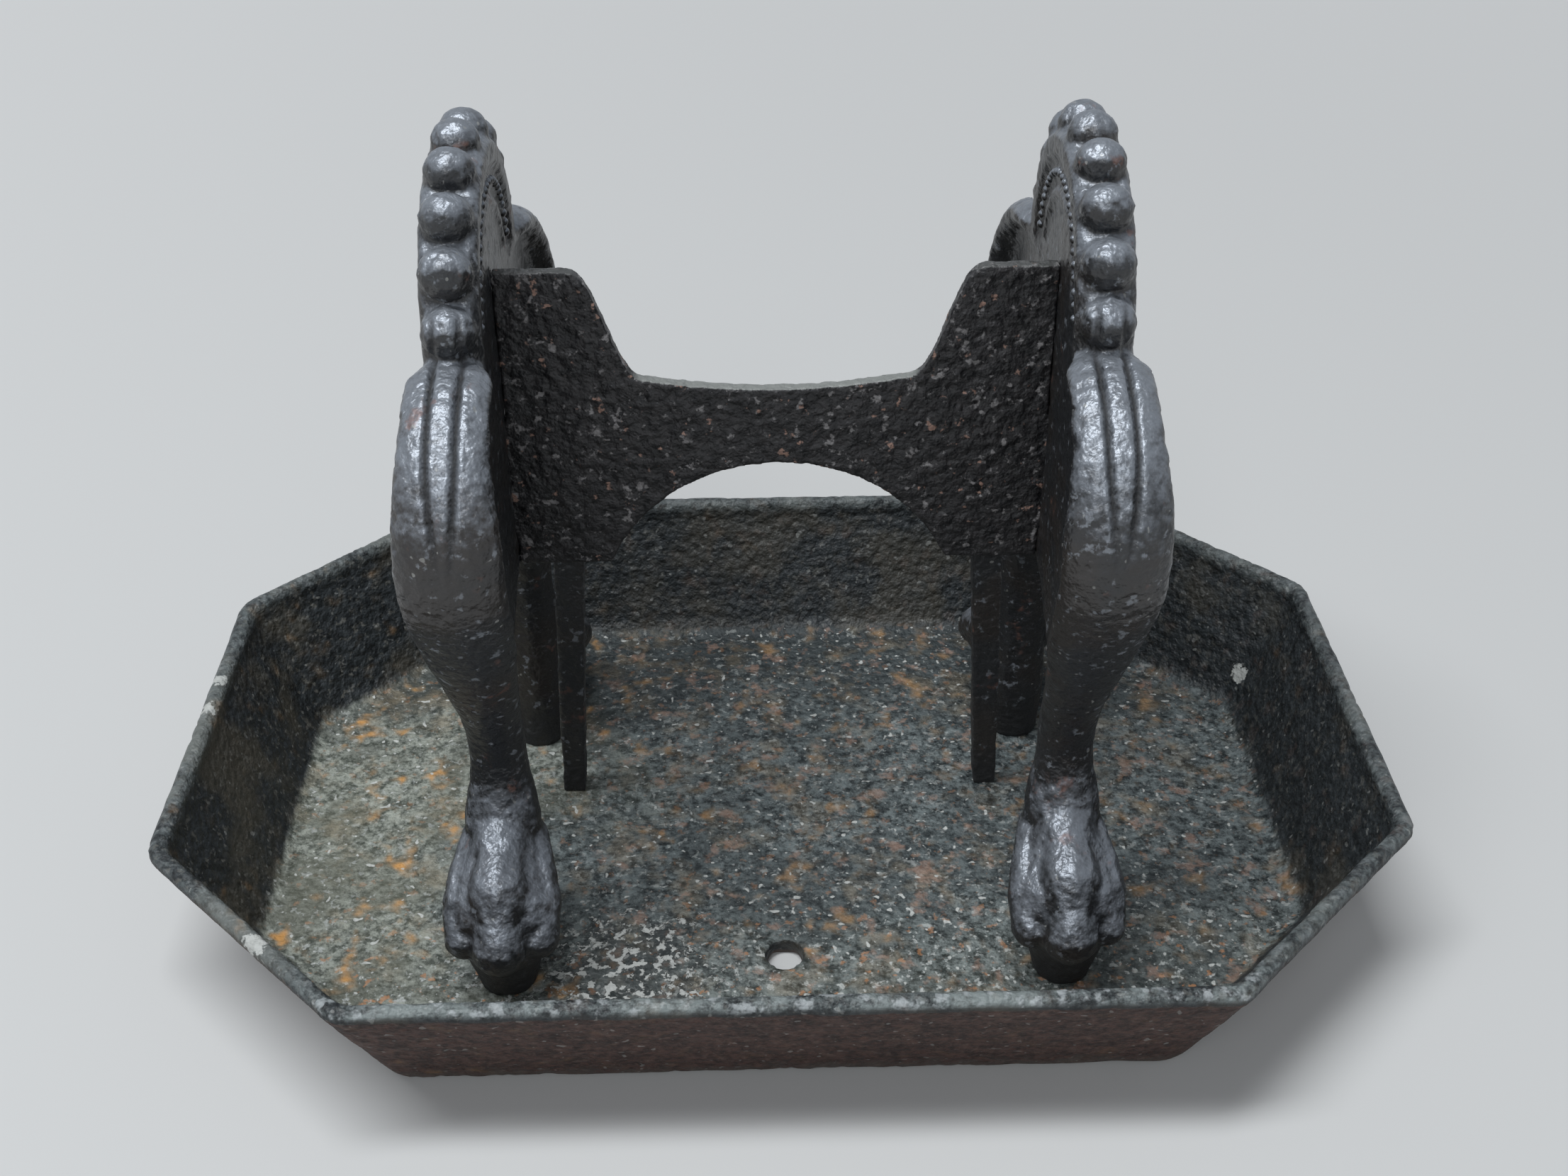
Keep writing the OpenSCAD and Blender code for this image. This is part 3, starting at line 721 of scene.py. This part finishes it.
# %% End frames, blade, stays and tray
def skin_of(lump, lump_size, pit, seed, swell=0.0):
    """The skin's inputs, lengths in millimetres."""
    return {"Lump height": lump * MM, "Lumps per metre": 1 / (lump_size * MM), "Pit depth": pit * MM,
            "Seed": seed, "Swell": swell * MM}


for side, seed in (("left", 1.7), ("right", 5.3)):
    cast_piece(f"end_frame_{side}_casting", f"end_frame_{side}", "scraper", FRAME_IRON,
               voxel=1.02 * MM, smoothing=2, skin=skin_of(0.22, 5, 0.3, seed), reeded=True)
    cast_piece(f"stay_{side}_bar", f"stay_{side}", "scraper", STAY_IRON,
               voxel=0.8 * MM, smoothing=2, skin=skin_of(0.35, 9, 0.3, seed + 1))
    cast_piece(f"stay_rivet_{side}_head", f"stay_rivet_{side}", "scraper", BLADE_IRON,
               voxel=0.4 * MM, smoothing=1, skin=skin_of(0.1, 6, 0.1, seed + 2, swell=-0.5))
cast_piece("blade_plate", "blade", "scraper", BLADE_IRON,
           voxel=0.65 * MM, smoothing=4, skin=skin_of(0.25, 4.5, 0.2, seed=9.1),
           filled_by=("stay_rivet_left", "stay_rivet_right"))
cast_piece("tray_casting", "tray", "tray_body", TRAY_IRON,
           voxel=1.9 * MM, smoothing=1, skin=skin_of(0.3, 12, 0.35, seed=3.9))

# %% [markdown]
# ## Pearls on the crests
#
# The outer moulding on each flat side of a crest carries a row of tiny pearls. They repeat along an arc, which is
# what Geometry Nodes do well: an arc becomes evenly spaced points, and each point gets a low sphere. The four rows
# are one row, turned upright and set on each face of the two webs.

# %% Geometry Nodes tree: pearl rows
WEB_T = 12 * MM
CREST_Z = 210 * MM
PEARL_ROW_R = 34 * MM
PEARL_REACH = math.radians(79)
PEARL_LIFT = 0.6 * MM
QUARTER_TURN = math.pi / 2


def pearl_tree(faces):
    graph, given = new_geometry_tree("Pearl rows", {
        "Row radius": ("NodeSocketFloat", PEARL_ROW_R),
        "Pearl radius": ("NodeSocketFloat", 1.4 * MM),
        "Pearls": ("NodeSocketInt", 26),
        "Iron": ("NodeSocketMaterial", None),
    })
    arc = graph.add("GeometryNodeCurveArc", {"mode": "RADIUS"}, {
        "Resolution": 64, "Radius": given["Row radius"],
        "Start Angle": QUARTER_TURN - PEARL_REACH, "Sweep Angle": 2 * PEARL_REACH})
    points = graph.add("GeometryNodeCurveToPoints", {"mode": "COUNT"}, {"Curve": arc, "Count": given["Pearls"]})
    ball = graph.add("GeometryNodeMeshUVSphere", None, {
        "Segments": 10, "Rings": 6, "Radius": given["Pearl radius"]})
    row = graph.add("GeometryNodeInstanceOnPoints", None, {"Points": points, "Instance": ball})
    join = graph.tree.nodes.new("GeometryNodeJoinGeometry")
    for x in faces:
        turned = graph.add("GeometryNodeTransform", None, {
            "Geometry": row, "Translation": (x, 0, CREST_Z), "Rotation": (QUARTER_TURN, 0, QUARTER_TURN)})
        graph.tree.links.new(turned.socket, join.inputs[0])
    return close_geometry_tree(graph, Wire(graph, join.outputs[0]), given["Iron"])


pearl_faces = [side * FRAME_X + face * (WEB_T / 2 + PEARL_LIFT) for side in (-1, 1) for face in (-1, 1)]
holder = linked_object("work", bpy.data.meshes.new("work"))
add_tree(holder, pearl_tree(pearl_faces), {"Iron": FRAME_IRON})
crest_pearls = plain_mesh(holder, "crest_pearls")
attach(crest_pearls, "scraper")
print("pearls:", len(crest_pearls.data.polygons), "faces")

# %% [markdown]
# ## A pale floor
#
# A plain pale floor shows the dark iron and its soft shadow. The lamps' light fades with distance, so a floor of one
# colour would go dark far away. The Light Path node tells rays that show something, to the camera or in a reflection,
# from rays that only light the iron. For the first kind the floor glows a little, more where less lamplight falls,
# so it looks evenly pale and still gives the iron no extra light.

# %% Floor
LAMP_HEIGHT = 3.0
FLOOR_HALF = 40.0
FLOOR_GREY = (0.64, 0.64, 0.63, 1)
FLOOR_GLOW = (0.5, 0.51, 0.52, 1)
NO_GLOW = (0, 0, 0, 1)


def seen_ray(graph):
    """1 for a ray that shows something: from the camera, in a reflection or through glass; 0 for light alone."""
    looks = [graph.add("ShaderNodeLightPath", out=f"Is {kind} Ray") for kind in ("Camera", "Glossy", "Transmission")]
    return looks[0].math("MINIMUM", looks[0] + looks[1] + looks[2], 1)


def floor_paint():
    material = bpy.data.materials.new("pale_floor")
    material.use_nodes = True
    graph = Graph(material.node_tree)
    shader = material.node_tree.nodes["Principled BSDF"]
    shader.inputs["Base Color"].default_value = FLOOR_GREY
    shader.inputs["Roughness"].default_value = 0.8
    shader.inputs["Specular IOR Level"].default_value = 0.1
    shader.inputs["Emission Strength"].default_value = 1.0
    place = graph.add("ShaderNodeTexCoord", out="Object")
    far = graph.add("ShaderNodeVectorMath", {"operation": "LENGTH"}, {0: place}, out="Value")
    lit = far.math("DIVIDE", LAMP_HEIGHT ** 2, far * far + LAMP_HEIGHT ** 2)
    glow = seen_ray(graph) * (1 - lit * lit)
    graph.feed(shader.inputs["Emission Color"], graph.blend(glow, NO_GLOW, FLOOR_GLOW))
    return material


corners = [(x * FLOOR_HALF, y * FLOOR_HALF, 0) for x, y in ((-1, -1), (1, -1), (1, 1), (-1, 1))]
floor_mesh = bpy.data.meshes.new("floor")
floor_mesh.from_pydata(corners, [], [(0, 1, 2, 3)])
floor_mesh.materials.append(floor_paint())
linked_object("floor", floor_mesh)
print("floor is", 2 * FLOOR_HALF, "m wide")

# %% [markdown]
# ## Lamps and sky
#
# Dark glossy iron shows its shape by what it reflects. A long narrow lamp high above, a little to the left, draws the
# sheen on everything that faces up, as a strip light does. A weaker square one in front and above reaches the blade
# and the front of the legs. A pale sky fills the shadows: it looks paler, to the camera and in reflections, than the
# light that it gives.

# %% Lamps and sky
LAMP_COLOUR = (0.94, 0.97, 1.0)
SKY_COLOUR = (0.86, 0.92, 1.0, 1)
SKY_LIGHT = 0.18
SKY_SEEN_MORE = 0.32


def soft_lamp(name, place, aim, width, length, power):
    """A rectangular lamp that looks at a point; lengths in metres, power in watts."""
    data = bpy.data.lights.new(name, "AREA")
    data.shape = "RECTANGLE"
    data.size = width
    data.size_y = length
    data.energy = power
    data.color = LAMP_COLOUR
    lamp = linked_object(name, data)
    lamp.location = place
    lamp.rotation_euler = (Vector(aim) - Vector(place)).to_track_quat("-Z", "Y").to_euler()


soft_lamp("lamp_above", place=(-0.75, -0.3, LAMP_HEIGHT), aim=(-0.05, -0.15, 0.1), width=0.6, length=2.2, power=74)
soft_lamp("lamp_front", place=(-0.4, -2.4, 2.3), aim=(0, 0, 0.1), width=1.2, length=1.2, power=24)
world = bpy.data.worlds.new("pale_sky")
world.use_nodes = True
sky = Graph(world.node_tree)
backdrop = world.node_tree.nodes["Background"]
backdrop.inputs["Color"].default_value = SKY_COLOUR
sky.feed(backdrop.inputs["Strength"], seen_ray(sky) * SKY_SEEN_MORE + SKY_LIGHT)
bpy.context.scene.world = world

# %% [markdown]
# ## Camera
#
# The camera stands where the photograph was taken from, close in front of the tray and looking down at it. Its place
# and its three angles come from fitting the tray's corners. A camera looks along its own -Z, so its matrix has the
# direction to the right, the one up and the one backwards as columns.

# %% Camera
CAMERA_AT = Vector((-8.0, -490.0, 440.9)) * MM
YAW, PITCH, ROLL = math.radians(1.14), math.radians(34.49), math.radians(-0.36)
FOCAL_PIXELS, PHOTO_WIDTH_PIXELS = 2549.2, 2212
SENSOR_WIDTH = 36
NEAREST = 0.01

ahead = Vector((math.sin(YAW) * math.cos(PITCH), math.cos(YAW) * math.cos(PITCH), -math.sin(PITCH)))
level = Vector((math.cos(YAW), -math.sin(YAW), 0))
above = level.cross(ahead)
right = level * math.cos(ROLL) + above * math.sin(ROLL)
up = above * math.cos(ROLL) - level * math.sin(ROLL)
camera_data = bpy.data.cameras.new("camera")
camera_data.sensor_width = SENSOR_WIDTH
camera_data.lens = SENSOR_WIDTH * (FOCAL_PIXELS / PHOTO_WIDTH_PIXELS)
camera_data.clip_start = NEAREST
camera = linked_object("camera", camera_data)
turn = Matrix((right, up, -ahead)).transposed().to_4x4()
camera.matrix_world = Matrix.Translation(CAMERA_AT) @ turn
bpy.context.scene.camera = camera
bpy.context.scene.view_settings.view_transform = "Standard"
print("camera lens", round(camera_data.lens, 2), "mm")

# %% [markdown]
# ## Sizes and the end
#
# Rounding and roughening must not change the size of the object.
